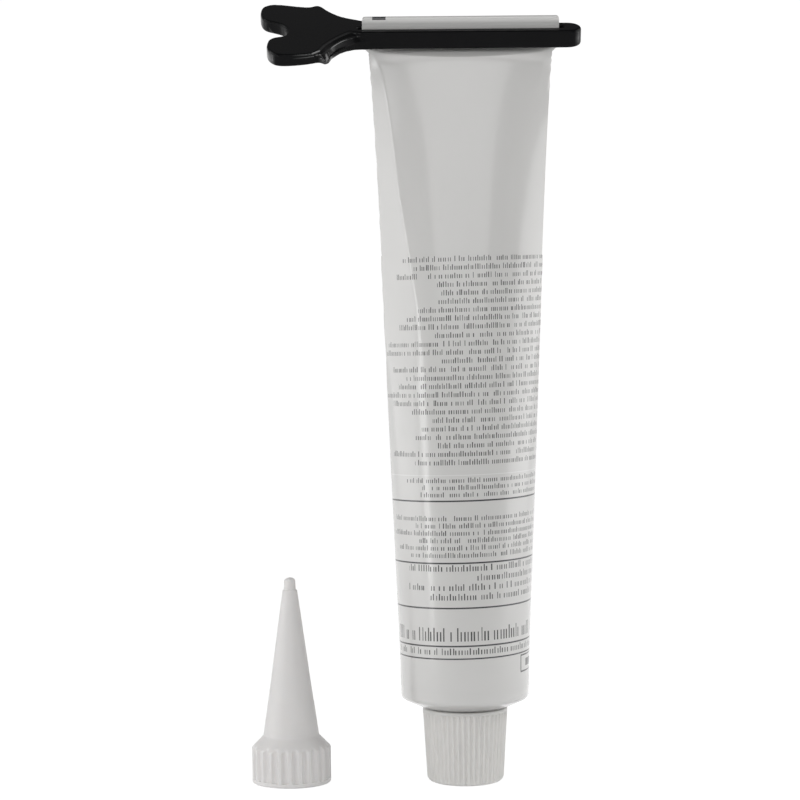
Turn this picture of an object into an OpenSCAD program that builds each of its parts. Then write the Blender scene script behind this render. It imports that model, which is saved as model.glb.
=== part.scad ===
// Collapsible aluminium sealant tube that stands on its screw cap, with a winding key pushed over its
// crimped end and its nozzle standing beside it. Millimetres. The origin is the centre of the cap's
// flat end, +Z runs up the tube and X lies along the crimp.

/* [Tube] */
// Outer diameter of the round end
tube_d = 32; // [28:0.5:38]
// Length of the body from the shoulder's seat to the bend under the key
body_len = 159; // [120:1:190]
// Length of the round stretch above the seat, before the body starts to flatten
round_len = 11; // [8:0.5:30]
// Share of the full flattening that is reached just under the key
under_key = 0.785; // [0.6:0.01:0.88]
// Fullness of the flattened stretch, where 1 is an empty tube and less is a filled one
fullness = 0.85; // [0.7:0.01:1]
// Angle of the conical shoulder
shoulder_angle = 25; // [15:1:35]
// Radius of the shoulder's edge
shoulder_r = 1.3; // [0.6:0.1:2.5]
// Diameter of the flat seat round the neck
seat_d = 22; // [21.4:0.1:25]

/* [Crimp] */
// Angle by which the flat end leans to the front
flap_tilt = 25; // [0:1:40]
// Radius of the bend that leans it
bend_r = 12; // [9:0.5:20]
// Thickness of the flattened wall below the crimp
flap_t = 0.8; // [0.4:0.1:1]
// Thickness of the folded crimp
crimp_t = 1.2; // [0.8:0.1:1.4]
// Height of the folded crimp
crimp_h = 6.2; // [5.6:0.1:8]
// Height of the slope that leads to the crimp's thinner top edge
fold_h = 1.6; // [0.6:0.05:2]
// Depth of that slope
fold_depth = 0.5; // [0.1:0.05:0.6]
// Length that the folding takes off each end of the crimp
crimp_in = 0.5; // [0.2:0.1:1]

/* [Neck] */
// Diameter over the neck's thread
neck_d = 14; // [12:0.2:15]
// Length of the neck
neck_h = 11.5; // [8:0.5:12]
// Diameter of the mouth
mouth_d = 9; // [5:0.5:10]
// Depth of the mouth down to the membrane
mouth_depth = 2; // [0.5:0.5:5]

/* [Label] */
// Height of the label
label_h = 107.4; // [40:0.2:110]
// Distance of the label's lower edge above the seat
label_up = 5.4; // [4.5:0.1:12]
// Thickness of the label
label_t = 0.12; // [0.08:0.01:0.3]

/* [Cap] */
// Height of the cap
cap_h = 18.7; // [17:0.1:24]
// Diameter of the rim
cap_rim_d = 21.2; // [19.5:0.1:24]
// Diameter at the flat end
cap_end_d = 19.3; // [18.6:0.1:22]
// Radius of the edge of the flat end
cap_edge_r = 1.5; // [0.5:0.1:2]
// Thickness of the end wall
cap_end_wall = 1.6; // [1:0.1:3]
// Height of the plain band at the rim
cap_band_h = 1; // [0.5:0.1:3]
// Number of grip grooves
cap_groove_count = 48; // [24:1:60]
// Radius of a grip groove
cap_groove_r = 0.42; // [0.2:0.02:0.6]
// Depth of a grip groove
cap_groove_depth = 0.34; // [0.1:0.02:0.4]
// Gap between the rim and the seat
cap_gap = 0.3; // [0.2:0.1:1]
// Clearance between the thread of the neck and the socket
thread_gap = 0.5; // [0.3:0.05:0.8]
// Thickness of the sealing disc
liner_t = 1; // [0.6:0.1:1.6]
// Clearance round the sealing disc
liner_gap = 0.15; // [0.1:0.05:0.4]
// Width of the ledge that carries the sealing disc
liner_ledge = 1.8; // [1:0.1:3]

/* [Key] */
// Depth of the bar
bar_depth = 6.7; // [5.4:0.1:10]
// Height of the bar
bar_h = 4.5; // [3.5:0.1:7]
// Length of solid bar past the slot's closed end
bar_tail = 4.1; // [3:0.1:10]
// Reach of the nose that runs from the slot into the grip
bar_nose = 5; // [4:0.1:7]
// Width of the slot
slot_w = 2; // [1.9:0.1:3]
// Free length of the slot at each end of the crimp
slot_spare = 0.9; // [0.5:0.1:2]
// Height of the bar's underside above the end of the bend
key_up = 0.9; // [0.7:0.1:1.6]
// Length of the grip from the slot to its tips
grip_len = 22.8; // [20:0.1:30]
// Half width over the tips of the grip
grip_half = 18.4; // [16:0.1:24]
// Half width over the shoulders of the grip
grip_shoulder = 17; // [15:0.1:20]
// Half width at the waist between shoulder and tip
grip_waist = 15.7; // [13:0.1:18]
// Thickness of the grip
grip_t = 2.9; // [2:0.05:3.4]
// Distance of the grip's shoulders from the slot
shoulder_from = 9; // [8:0.1:11]
// Distance of the grip's waist from the slot
waist_from = 12.6; // [11.5:0.1:15]
// Angle by which the grip's shoulders are skewed to the bar
grip_skew = 4.5; // [0:0.5:8]
// Angle by which its tips are skewed to the bar
tip_skew = 7; // [0:0.5:10]
// Radius of the round notch between the tips
notch_r = 5.3; // [3:0.1:7]
// Radius of the finger hollows
hollow_r = 6.9; // [5.5:0.1:9]
// Radius of the key's moulded edges
key_edge = 0.6; // [0.3:0.05:0.8]

/* [Nozzle] */
// Distance from the tube's axis to the nozzle's axis
nozzle_x = 43.75; // [35:0.25:80]
// Height of the nozzle
nozzle_h = 51; // [40:0.5:70]
// Diameter of the nozzle's grip
nozzle_base_d = 19.8; // [18.4:0.1:24]
// Height of the grip
nozzle_base_h = 8.9; // [7:0.1:14]
// Diameter at the foot of the cone
nozzle_cone_d = 14; // [11:0.1:15]
// Diameter at the top of the cone
nozzle_top_d = 3.7; // [3.4:0.1:5]
// Diameter of the closed tip
nozzle_tip_d = 3; // [2:0.1:3.2]
// Height of the closed tip
nozzle_tip_h = 3.2; // [2:0.1:6]
// Thickness of the cone's wall
nozzle_wall = 1.4; // [1:0.1:1.6]
// Height of the plain rim below the grip grooves
nozzle_rim_h = 1.1; // [0.6:0.1:2]
// Number of grip grooves
nozzle_groove_count = 24; // [16:1:30]
// Radius of a grip groove
nozzle_groove_r = 0.85; // [0.4:0.05:1]
// Depth of a grip groove
nozzle_groove_depth = 0.55; // [0.2:0.05:0.7]

/* [Hidden] */
$fn = 64;

// Heights along the neck and cap, from the flat end up
seat_z = cap_h + cap_gap;
lip_z = seat_z - neck_h;
seal_gap = 0.1;
liner_top_z = lip_z - seal_gap;
ledge_z = liner_top_z - liner_t;
socket_r = neck_d / 2 + thread_gap;
lead_in = 0.5;

// The body starts as a circle, and its girth stays the same up to the flat crimp
tube_r = tube_d / 2;
edge_loss = 0.33;
flat_half = PI * tube_d / 4 - edge_loss;
shoulder_run = tube_r - shoulder_r - seat_d / 2;
shoulder_rise = (shoulder_r + sin(shoulder_angle) * shoulder_run) / cos(shoulder_angle);
shoulder_z = seat_z + shoulder_rise;
taper_z = seat_z + round_len;
bend_z = seat_z + body_len;
bend_len = bend_r * flap_tilt * PI / 180;
flap_s = bend_z + bend_len;
flap_y = -bend_r * (1 - cos(flap_tilt));
flap_z = bend_z + bend_r * sin(flap_tilt);
pinch_from = 1;
pinch_to = 0.3;
pinch_s = flap_s - pinch_from;
flare_share = 0.12;
flare_power = 8;
body_sides = 72;
body_rings = 16;
bend_rings = 4;
pinch_rings = 5;

// Heights on the leaning flap are measured from the end of the bend
crimp_low = 2;
crimp_top = crimp_low + crimp_h;
flap_overlap = 0.3;

label_z = seat_z + label_up;
label_gap = 0.04;

// The key is laid out from the slot's end, along the bar
slot_half = flat_half + slot_spare;
slot_reach = slot_half - slot_w / 2;
bar_half = bar_depth / 2;
rail_r = (bar_depth - slot_w) / 4;
rail_y = bar_half - rail_r;
slot_end = -slot_half;
bar_right = slot_half + bar_tail;
grip_low = bar_h - grip_t;
tip_x = slot_end - grip_len;
nose_r = 1.4;
root_r = 1.6;
root_in = 1.5;
root_inset = 0.25;
tip_r = 4.5;
horn_r = 1.3;
notch_in = 0.6;
heart_r = 1;
heart_in = 4.4;
hollow_out = 0.5;
hollow_width = 5;
hollow_near = 5.5;
hollow_far = 11.5;
hollow_lift = sqrt(hollow_r * hollow_r - hollow_width * hollow_width);

nozzle_chamfer = (nozzle_base_d - nozzle_cone_d) / 2;
nozzle_cone_z = nozzle_base_h + nozzle_chamfer;
nozzle_top_z = nozzle_h - nozzle_tip_h;
nozzle_socket_h = nozzle_base_h + 0.3;
passage_r = nozzle_cone_d / 2 - nozzle_wall;
passage_top_r = 0.5;
passage_top_z = nozzle_top_z - 1.2;

white_lacquer = [0.83, 0.83, 0.82];
white_film = [0.86, 0.86, 0.85];
white_plastic = [0.85, 0.85, 0.84];
seal_grey = [0.75, 0.76, 0.74];
black_plastic = [0.04, 0.04, 0.045];

// Points on an arc
function arc(c, r, from, to, steps) =
    [for (i = [0 : steps]) let (a = from + (to - from) * i / steps) c + r * [cos(a), sin(a)]];

function unit(v) = v / norm(v);
function mix(a, b, k) = a * (1 - k) + b * k;
function wrap(i, n) = (i + n) % n;

// A closed skin through rings of as many points each, lowest ring first
module skin(rings) {
    n = len(rings[0]);
    top = (len(rings) - 1) * n;
    sides = [for (i = [0 : len(rings) - 2], j = [0 : n - 1])
        let (a = i * n + j, b = i * n + (j + 1) % n, c = b + n, d = a + n)
        each [[a, d, c], [a, c, b]]];
    low = [for (j = [0 : n - 1]) j];
    high = [for (j = [n - 1 : -1 : 0]) top + j];
    polyhedron(points = [for (r = rings) each r], faces = concat(sides, [low, high]), convexity = 6);
}

// Share of the full flattening at distance s along the body's middle line
function flattening(s) =
    let (q = max(0, (s - taper_z) / (pinch_s - taper_z)))
    s < pinch_s
        ? under_key * ((1 - flare_share) * q + flare_share * pow(q, flare_power))
        : let (k = min(1, (s - pinch_s) / (pinch_from + pinch_to))) mix(under_key, 1, pow(k, 1.4));

// One ring of the body: each point of the circle moves straight to its place in the flat crimp
function body_ring(s, grow) =
    let (t = flattening(s),
         a = max(0, min(flap_tilt, (s - bend_z) / bend_r * 180 / PI)),
         past = max(0, s - flap_s),
         y0 = -bend_r * (1 - cos(a)) - past * sin(a),
         z0 = s < bend_z ? s : bend_z + bend_r * sin(a) + past * cos(a),
         depth = tube_r * pow(1 - t, fullness) + t * flap_t / 2 + grow)
    [for (i = [0 : body_sides - 1])
        let (th = 360 * i / body_sides,
             x = (1 - t) * tube_r * cos(th) + t * flat_half * (1 - min(th, 360 - th) / 90),
             y = depth * sin(th))
        [x + grow * cos(th), y0 + y * cos(a), z0 + y * sin(a)]];

module on_flap() {
    translate([0, flap_y, flap_z]) rotate([flap_tilt, 0, 0]) children();
}

// The neck runs up into the shoulder. Its mouth is open down to the membrane.
module neck() {
    lip_edge = 0.4;
    root_z = seat_z + shoulder_rise;
    rotate_extrude()
        polygon([
            [0, lip_z + mouth_depth],
            [mouth_d / 2, lip_z + mouth_depth],
            [mouth_d / 2, lip_z],
            [neck_d / 2 - lip_edge, lip_z],
            [neck_d / 2, lip_z + lip_edge],
            [neck_d / 2, root_z],
            [0, root_z],
        ]);
}

function round_ring(p) =
    [for (i = [0 : body_sides - 1]) let (th = 360 * i / body_sides) [p.x * cos(th), p.x * sin(th), p.y]];

// Radius and height of the rings from the flat seat over the cone and round the shoulder's edge
shoulder_steps = 6;
shoulder_points = concat(
    [[seat_d / 2, seat_z]],
    arc([tube_r - shoulder_r, shoulder_z], shoulder_r, shoulder_angle - 90, 0, shoulder_steps));

// Distances along the body's middle line at which it has a ring
body_stations = concat(
    [for (i = [0 : body_rings]) mix(taper_z, bend_z, i / body_rings)],
    [for (i = [1 : bend_rings]) mix(bend_z, pinch_s, i / bend_rings)],
    [for (i = [1 : pinch_rings]) mix(pinch_s, flap_s + pinch_to, i / pinch_rings)],
    [flap_s + crimp_low + flap_overlap]);

module body() {
    skin(concat(
        [for (p = shoulder_points) round_ring(p)],
        [for (s = body_stations) body_ring(s, 0)]));
}

// The folded strip, seen from its end and from the front
module crimp_profile() {
    front = -crimp_t / 2;
    top_r = 0.25;
    polygon(concat(
        [[front, crimp_low], [-front, crimp_low]],
        arc([-front - top_r, crimp_top - top_r], top_r, 0, 90, 4),
        [[front + fold_depth + top_r / 2, crimp_top], [front + fold_depth, crimp_top - top_r / 2],
         [front, crimp_top - fold_h]]));
}

module crimp_face() {
    corner_r = 0.8;
    half = flat_half - crimp_in;
    polygon(concat(
        [[-half, crimp_low], [half, crimp_low]],
        arc([half - corner_r, crimp_top - corner_r], corner_r, 0, 90, 6),
        arc([corner_r - half, crimp_top - corner_r], corner_r, 90, 180, 6)));
}

module crimp() {
    on_flap()
        intersection() {
            rotate([90, 0, 90])
                linear_extrude(height = 2 * flat_half, center = true) crimp_profile();
            rotate([90, 0, 0])
                linear_extrude(height = 2 * crimp_t, center = true) crimp_face();
        }
}

module tube() {
    color(white_lacquer)
        union() {
            neck();
            body();
            crimp();
        }
}

// The label is a closed sleeve of film round the body. It has the body's own rings inside its length,
// and its inner side is split into the same triangles as the body, so that the two never cross.
module label() {
    label_top = label_z + label_h;
    stations = concat(
        [label_z],
        [for (s = body_stations) if (s > label_z + 0.1 && s < label_top - 0.1) s],
        [label_top]);
    inner = [for (s = stations) body_ring(s, label_gap)];
    outer = [for (s = stations) body_ring(s, label_gap + label_t)];
    n = body_sides;
    m = len(stations);
    ring = [for (i = [0 : m - 1]) each outer[i], for (i = [m - 1 : -1 : 0]) each inner[i]];
    faces = [for (i = [0 : 2 * m - 1], j = [0 : n - 1])
        let (a = i * n + j,
             b = i * n + (j + 1) % n,
             c = wrap(i + 1, 2 * m) * n + (j + 1) % n,
             d = wrap(i + 1, 2 * m) * n + j)
        each i < m ? [[a, d, c], [a, c, b]] : [[a, d, b], [b, d, c]]];
    color(white_film)
        polyhedron(points = ring, faces = faces, convexity = 4);
}

module cap_blank() {
    rim_r = cap_rim_d / 2;
    end_r = cap_end_d / 2;
    rim_edge = 0.4;
    rotate_extrude()
        polygon(concat(
            [[0, 0]],
            arc([end_r - cap_edge_r, cap_edge_r], cap_edge_r, -90, 0, 6),
            [[rim_r, cap_h - rim_edge], [rim_r - rim_edge, cap_h],
             [socket_r + lead_in, cap_h], [socket_r, cap_h - lead_in],
             [socket_r, ledge_z], [socket_r - liner_ledge, ledge_z],
             [socket_r - liner_ledge, cap_end_wall], [0, cap_end_wall]]));
}

module cap() {
    end_r = cap_end_d / 2;
    lean = atan((cap_rim_d - cap_end_d) / 2 / (cap_h - cap_edge_r));
    low = -1;
    groove_len = (cap_h - cap_band_h - low) / cos(lean);
    color(white_plastic)
        difference() {
            cap_blank();
            for (i = [0 : cap_groove_count - 1])
                rotate([0, 0, 360 * i / cap_groove_count])
                    translate([end_r + cap_groove_r - cap_groove_depth - cap_edge_r * tan(lean), 0, 0])
                        rotate([0, lean, 0])
                            translate([0, 0, low])
                                cylinder(r = cap_groove_r, h = groove_len, $fn = 16);
        }
}

module cap_liner() {
    color(seal_grey)
        translate([0, 0, ledge_z])
            cylinder(r = socket_r - liner_gap, h = liner_t);
}

// A round post with moulded edges, from which hulls make the bar and the grip
module post(p, r, low) {
    for (step = [[0, key_edge], [0.3 * key_edge, 0.3 * key_edge], [key_edge, 0]])
        translate([p.x, p.y, low + step[0]])
            cylinder(r = r - step[1], h = bar_h - low - 2 * step[0], $fn = 32);
}

// The bar is solid here, and the slot is cut through it afterwards
module bar() {
    rail_ends = [for (side = [-1, 1]) [-slot_reach, side * rail_y]];
    hull() {
        post([bar_right - bar_half, 0], bar_half, 0);
        for (p = rail_ends) post(p, rail_r, 0);
    }
    hull() {
        post([slot_end - bar_nose + nose_r, 0], nose_r, 0);
        for (p = rail_ends) post(p, rail_r, 0);
    }
}

// Places in the grip are mirrored to a side and skewed along the bar
function skewed(p, side, skew) = [p.x - tan(skew) * side * p.y, side * p.y];

root_at = [slot_end + root_in, bar_half - root_r - root_inset];
shoulder_at = [slot_end - shoulder_from, grip_shoulder - root_r];
waist_at = [slot_end - waist_from, grip_waist - root_r];
tip_at = [tip_x + tip_r, grip_half - tip_r];
horn_at = [tip_x + horn_r, notch_r + horn_r];
heart_at = [tip_x + notch_in + notch_r + heart_in, 0];

// One half of the grip: from the bar out to the shoulder, and on to the rounded tip. Its top is flush
// with the bar's, and its underside rises from the bar's foot to the shoulder.
module half_grip(side) {
    shoulder = skewed(shoulder_at, side, grip_skew);
    waist = skewed(waist_at, side, grip_skew);
    hull() {
        post([root_at.x, side * root_at.y], root_r, 0);
        post(shoulder, root_r, grip_low);
        post(waist, root_r, grip_low);
        post(heart_at, heart_r, grip_low);
    }
    hull() {
        post(waist, root_r, grip_low);
        post(skewed(tip_at, side, tip_skew), tip_r, grip_low);
        post(skewed(horn_at, side, tip_skew), horn_r, grip_low);
        post(heart_at, heart_r, grip_low);
    }
}

// A finger hollow along the flank between bar and shoulder: in the top face at the front, and in
// the lower face at the back
module hollow(side) {
    flank = unit(shoulder_at - root_at);
    outward = [flank.y, -flank.x];
    axis = root_at + outward * (root_r + hollow_out);
    hull()
        for (along = [hollow_near, hollow_far])
            translate(concat(skewed(axis + flank * along, side, grip_skew),
                             side < 0 ? bar_h + hollow_lift : grip_low - hollow_lift))
                sphere(r = hollow_r, $fn = 64);
}

// The round notch between the tips, with its edges broken at both faces
module notch() {
    translate([tip_x + notch_in, 0, grip_low]) {
        translate([0, 0, -1]) cylinder(r = notch_r, h = grip_t + 2);
        for (z = [-key_edge / 2, grip_t - key_edge / 2])
            translate([0, 0, z])
                cylinder(
                    r1 = notch_r + (z < 0 ? key_edge : 0),
                    r2 = notch_r + (z < 0 ? 0 : key_edge),
                    h = key_edge);
    }
}

module grip() {
    difference() {
        for (side = [-1, 1]) half_grip(side);
        for (side = [-1, 1]) hollow(side);
        notch();
    }
}

module slot() {
    translate([0, 0, -1])
        linear_extrude(height = bar_h + 2)
            hull()
                for (x = [-slot_reach, slot_reach])
                    translate([x, 0]) circle(r = slot_w / 2, $fn = 24);
}

module key() {
    color(black_plastic)
        on_flap()
            translate([0, 0, key_up])
                difference() {
                    union() {
                        bar();
                        grip();
                    }
                    slot();
                }
}

module nozzle_blank() {
    foot_edge = 0.4;
    rotate_extrude()
        polygon([
            [socket_r, 0],
            [nozzle_base_d / 2 - foot_edge, 0],
            [nozzle_base_d / 2, foot_edge],
            [nozzle_base_d / 2, nozzle_base_h],
            [nozzle_cone_d / 2, nozzle_cone_z],
            [nozzle_top_d / 2, nozzle_top_z],
            [nozzle_tip_d / 2, nozzle_top_z + 0.2],
            [nozzle_tip_d / 2 - 0.15, nozzle_h - 0.5],
            [0, nozzle_h],
            [0, passage_top_z],
            [passage_top_r, passage_top_z],
            [passage_r, nozzle_cone_z],
            [passage_r, nozzle_socket_h],
            [socket_r, nozzle_socket_h],
        ]);
}

module nozzle() {
    color(white_plastic)
        translate([-nozzle_x, 0, 0])
            difference() {
                nozzle_blank();
                for (i = [0 : nozzle_groove_count - 1])
                    rotate([0, 0, 360 * (i + 0.5) / nozzle_groove_count])
                        translate([nozzle_base_d / 2 + nozzle_groove_r - nozzle_groove_depth, 0, nozzle_rim_h])
                            cylinder(r = nozzle_groove_r, h = nozzle_cone_z, $fn = 24);
            }
}

tube();
label();
cap();
cap_liner();
key();
nozzle();
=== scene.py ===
"""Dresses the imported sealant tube: lacquered body, printed label, screw cap, winding key and nozzle.

It is laid out as an add-on and run as a script. Sizes are in metres, apart from the tables and places
whose comments say millimetres.
"""

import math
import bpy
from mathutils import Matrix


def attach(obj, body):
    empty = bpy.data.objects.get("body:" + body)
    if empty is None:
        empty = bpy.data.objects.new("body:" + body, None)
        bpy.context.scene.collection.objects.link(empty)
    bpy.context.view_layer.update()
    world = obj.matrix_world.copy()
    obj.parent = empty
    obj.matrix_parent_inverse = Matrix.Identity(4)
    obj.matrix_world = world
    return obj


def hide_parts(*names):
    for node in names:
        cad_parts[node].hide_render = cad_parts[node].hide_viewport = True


bl_info = {
    "name": "Sealant tube",
    "version": (1, 0, 0),
    "blender": (4, 5, 0),
    "location": "3D View > Sidebar > Sealant tube",
    "description": "Builds a collapsible sealant tube with its cap, winding key and nozzle",
    "category": "Object",
}

import bpy
from bpy.props import FloatProperty, FloatVectorProperty, IntProperty, PointerProperty
from mathutils import Matrix, Vector

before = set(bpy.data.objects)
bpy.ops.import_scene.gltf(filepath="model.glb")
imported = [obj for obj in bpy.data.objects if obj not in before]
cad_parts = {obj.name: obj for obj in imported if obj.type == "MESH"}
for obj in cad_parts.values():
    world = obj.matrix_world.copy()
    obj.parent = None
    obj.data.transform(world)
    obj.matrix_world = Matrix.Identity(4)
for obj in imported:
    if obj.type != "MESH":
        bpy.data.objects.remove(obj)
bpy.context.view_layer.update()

MM = 0.001

# The tube, as the solids have it
TUBE_R = 16 * MM
SEAT_Z = 19 * MM
SEAT_R = 11 * MM
NECK_R = 7 * MM
NECK_LIP_Z = 7.5 * MM
MOUTH_R = 4.5 * MM
MEMBRANE_Z = 9.5 * MM
SHOULDER_SLOPE = math.radians(25)
SHOULDER_R = 1.3 * MM
EDGE_LOSS = 0.33 * MM
FLAT_HALF = math.pi * TUBE_R / 2 - EDGE_LOSS
GIRTH = 2 * math.pi * TUBE_R
TAPER_Z = SEAT_Z + 11 * MM
BEND_Z = SEAT_Z + 159 * MM
BEND_R = 12 * MM
FLAP_TILT = math.radians(25)
FLAP_S = BEND_Z + BEND_R * FLAP_TILT
FLAP_AT = Vector((0, -BEND_R * (1 - math.cos(FLAP_TILT)), BEND_Z + BEND_R * math.sin(FLAP_TILT)))
PINCH_S = FLAP_S - 1 * MM
PINCH_LEN = 1.3 * MM
UNDER_KEY = 0.785
FLARE_SHARE = 0.12
FLARE_POWER = 8
FULLNESS = 0.85
FLAP_T = 0.8 * MM

# The folded crimp, in heights above the end of the bend
CRIMP_LOW = 2 * MM
CRIMP_TOP = 8.2 * MM
CRIMP_T = 1.2 * MM
CRIMP_IN = 0.5 * MM
CRIMP_CORNER_R = 0.8 * MM
CRIMP_CORNER_THIN = 0.35
CRIMP_BACK_R = 0.25 * MM
CRIMP_LAP = 0.3 * MM
CRIMP_COLUMNS = 60
FOLD_H = 1.7 * MM
FOLD_DEPTH = 0.62 * MM

# Creases in the front skin that run down from the crimp's corners. Each point has the distance along
# the body in millimetres, the angle from the front in degrees, and how far the ridge stands out in
# millimetres. From the full rise on, the skin is flat between the ridge and the tube's edge.
CREASES = [
    [(184, -89, 0), (181, -83, 0.25), (177.5, -75.5, 0.5), (165.5, -69, 0.8),
     (147, -61.5, 0.75), (133, -52, 0.45), (118, -42, 0.16), (100, -36, 0)],
    [(184, 89, 0), (181.5, 84, 0.25), (178, 79, 0.3), (172, 76, 0)],
]
CREASE_FALL = 5.5 * MM
CREASE_FULL = 0.5 * MM
CREASE_COLUMNS = (0.3, 0.72)

# The label
LABEL_LOW = SEAT_Z + 5.4 * MM
LABEL_H = 107.4 * MM
LABEL_T = 0.12 * MM
LABEL_GAP = 0.04 * MM
LABEL_ROWS = 60

# The print, in millimetres across from the front and up from the floor. Each block of ticks has its top,
# pitch, count of rows, height of a row, width of a cell, left end, raggedness and seed.
TICK_BLOCKS = [
    (131.7, 2.08, 25, 1.35, 0.56, -25, 20, 3),
    (77.3, 1.75, 3, 1.2, 0.56, -22, 16, 41),
    (68.0, 1.8, 6, 1.25, 0.56, -24, 12, 57),
    (56.0, 2.35, 4, 1.6, 0.7, -21, 24, 73),
    (40.6, 4.2, 1, 3.3, 0.85, -22, 0, 91),
    (35.6, 2.3, 1, 1.6, 0.7, -22, 0, 97),
]

# A tick's middle and half its width run between these shares of its cell. Then come the share of short
# ticks, how much shorter they are, and how readily a cell stays empty.
TICK_MIDDLE = (0.32, 0.68)
TICK_HALF = (0.125, 0.235)
SHORT_TICKS = 0.7
SHORT_BY = 0.3
EMPTY_CELLS = 0.27

# The middle and half length of all rules, and the height and half thickness of each
RULES_ACROSS = (16, 42)
RULES = [(71.6, 0.19), (56.4, 0.19), (45.4, 0.19), (36.1, 0.19), (33.0, 0.17)]

# The framed mark: middle and half width, middle and half height, and line. Then the share that is filled.
FRAMED_MARK = (22.2, 6.2, 30.3, 2.2, 0.35)
MARK_FILL = (0.55, 0.42)

# Where the film steps over its own edge: height and half thickness. The print climbs a little across.
FILM_STEP = (77.9, 0.12)
STEP_WHITE = (0.9, 0.9, 0.9)
PRINT_SLANT = 0.023
INK = (0.02, 0.02, 0.022)
INK_COVER = 0.97

# The register mark: middle and half width across, then middle and half height up the crimp
REGISTER_MARK = (-20.1, 1.65, 7.9, 0.3)

# Painted shade under the shoulder lies between these heights above the seat, and painted shade on the
# crimp's front, under its top edge, has a middle and a half height up the crimp, all in millimetres
SHOULDER_PAINTED_SHADE = (-0.3, 2.7)
# How dark the painted shade under the shoulder gets: the share of the lacquer's colour left at its darkest
SHOULDER_PAINTED_SHADE_DARKEST = 0.38
FOLD_PAINTED_SHADE = (6.6, 0.9)
# How dark the painted shade on the crimp's front gets: the share of the colour taken off at its middle
FOLD_PAINTED_SHADE_STRENGTH = 0.32

# The cap
CAP_H = 18.7 * MM
CAP_RIM_R = 10.6 * MM
CAP_END_R = 9.65 * MM
CAP_EDGE_R = 1.5 * MM
CAP_END_WALL = 1.6 * MM
CAP_BAND_H = 1 * MM
CAP_GROOVE_R = 0.42 * MM
CAP_GROOVE_COLUMNS = 10
SOCKET_R = 7.5 * MM
LEDGE_Z = 6.4 * MM
LEDGE_W = 1.8 * MM
LINER_T = 1 * MM
LINER_R = SOCKET_R - 0.15 * MM
LINER_SIDES = 96
THREAD_PITCH = 3 * MM
THREAD_H = 0.34 * MM
THREAD_W = 1.1 * MM
THREAD_SUNK = 0.12 * MM
THREAD_CREST = 0.22
THREAD_STEPS = 40
THREAD_RUNOUT = 0.25
THREAD_LOW_Z = NECK_LIP_Z + 1.4 * MM
NECK_TURNS = 2.6
CAP_TURNS = 3.0

# The key, on the leaning crimp
KEY_UP = 0.9 * MM
KEY_EDGE = 0.6 * MM
BAR_HALF = 3.35 * MM
BAR_H = 4.5 * MM
SLOT_W = 2 * MM
SLOT_HALF = FLAT_HALF + 0.9 * MM
BAR_TAIL = 4.1 * MM
BAR_NOSE = 5 * MM
NOSE_R = 1.4 * MM
POST_SIDES = 48
SLOT_SIDES = 32
GRIP_T = 3.2 * MM
UNDERSIDE_FROM = -24.2 * MM
UNDERSIDE_RUN = 9.5 * MM
UNDERSIDE_CUTS = 8
CUTS_TO_RUN = 3

# The grip's outline round its tips, in millimetres from the crimp's middle: x and y of the top face's
# edge. Where the front flank is scooped out, x and y of the scoop's rim and of the wall's foot follow.
GRIP_OUTLINE = [
    (-18, -3.35), (-21.5, -3.3, -21.5, -3.35, -21.5, -3.4), (-23.4, -2.3, -23.5, -2.75, -23.4, -3.6),
    (-25.3, -1.4, -25.2, -3.3, -25.1, -4.1), (-27.4, -2.5, -27, -4.5, -26.9, -5.4),
    (-29.4, -4.9, -28.7, -6, -28.6, -7.3), (-31.3, -7.8, -30.4, -8.6, -30.1, -9.9),
    (-33, -11, -32, -12, -31.4, -13.1), (-33.8, -13.2, -32.9, -14.8, -32.1, -16),
    (-34.3, -14.8, -33.8, -16, -33.2, -17.3), (-35, -16.2, -34.8, -16.2, -34.6, -16.3),
    (-36.3, -17.7, -36.3, -17.4, -36.3, -17), (-38.5, -18.4, -38.5, -18.2, -38.5, -17.8),
    (-42, -18.7, -42, -18.65, -42, -18.4), (-44.8, -18), (-46.6, -15.6), (-47.3, -12.6),
    (-47.3, -9.9), (-47, -7.6), (-45.9, -6.1), (-44.4, -5.4), (-43.2, -4.6), (-42.8, -3), (-42.7, -0.9),
    (-43.2, 1.3), (-44.4, 3.4), (-46.2, 4.9), (-48.1, 6.3), (-49.2, 8.2), (-49.8, 11), (-49.9, 14),
    (-49.4, 16.8), (-47.7, 18.4), (-45.6, 18.5), (-43.4, 17.9), (-40.5, 16.9), (-38.2, 16.4), (-37, 16.8),
    (-35.9, 17.5), (-34.6, 16.7), (-33.4, 14.4), (-32.2, 12.4), (-30.8, 10.5), (-29.3, 8.9), (-27.5, 7.6),
    (-25.7, 6.6), (-23, 5.1), (-20, 3.8), (-18, 3.35),
]

# A whole row has three pairs, and the curve takes this many steps from one row to the next
OUTLINE_VALUES = 6
OUTLINE_STEPS = 6
RIM_Z = 3.5 * MM
FOOT_Z = 2.3 * MM

# Where the key is polished, in millimetres across and to the back from the crimp's middle, and up from
# the bar's foot. Each pair is a middle and a half width, and a slope runs from nothing to full polish.
TOP_POLISH = (BAR_H / MM - 0.26, 0.16)
RIM_POLISH = (RIM_Z / MM, 0.13)
FRONT_SLOPES = ((-41, -36), (-24.5, -28))
FRONT_Y = -1
BACK_SLOPES = ((-36, -33), (-22, -26))
BACK_Y = 4
WALL_SPOTS = ((-32.7, 2.1), (-46.4, 1.3))
WALL_HEIGHT = (2.5, 2.0)
SHOULDER_Y = -8
NOTCH_Y = (5, 2.5)
BAR_END = (28.9, 0.8)
BAR_END_HEIGHT = (2.3, 2.1)
BAR_END_POLISH = 0.6

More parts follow.
